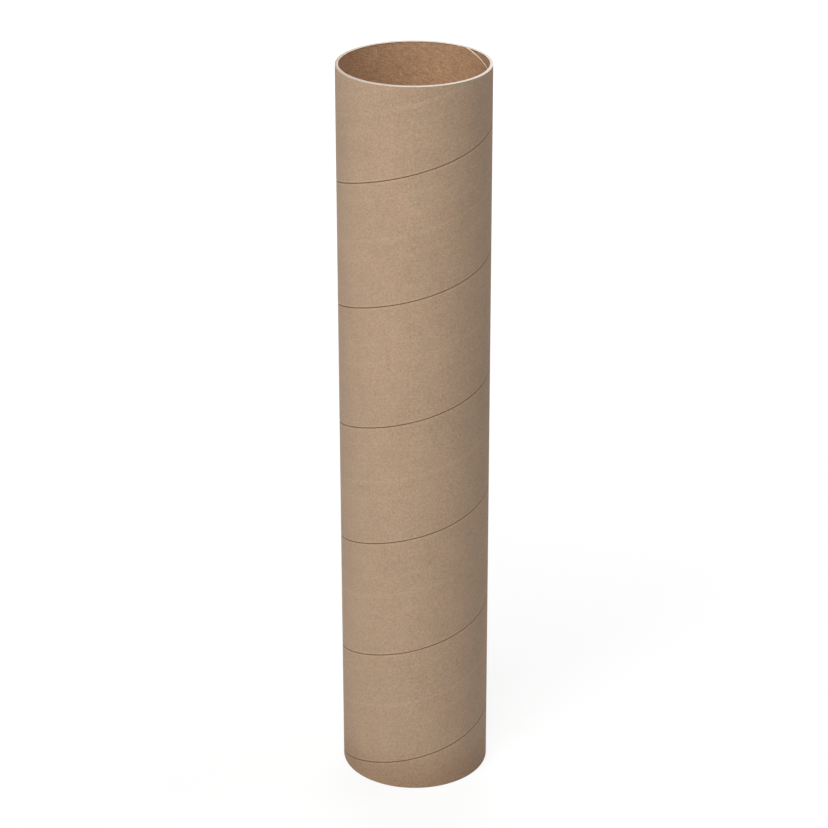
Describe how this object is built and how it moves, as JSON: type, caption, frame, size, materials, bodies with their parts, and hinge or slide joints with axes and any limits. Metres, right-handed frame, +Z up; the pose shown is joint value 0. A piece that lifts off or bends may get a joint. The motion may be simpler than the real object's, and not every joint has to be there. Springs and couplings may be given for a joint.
{
  "type": "concrete form tube",
  "caption": "Spiral-wound paperboard tube, open at both ends, that stands upright and moulds a round concrete column or footing.",
  "frame": {"origin": "centre of the lower sawn end, on the surface that the tube stands on", "axes": "+Z up the tube's axis; the picture looks at the -Y side, with +X to the right"},
  "size_m": [0.2424, 0.2424, 1.2192],
  "materials": {
    "kraft_board": "matte uncoated kraft paperboard"
  },
  "bodies": {
    "root": {"form_tube": "kraft_board"}
  },
  "joints": []
}
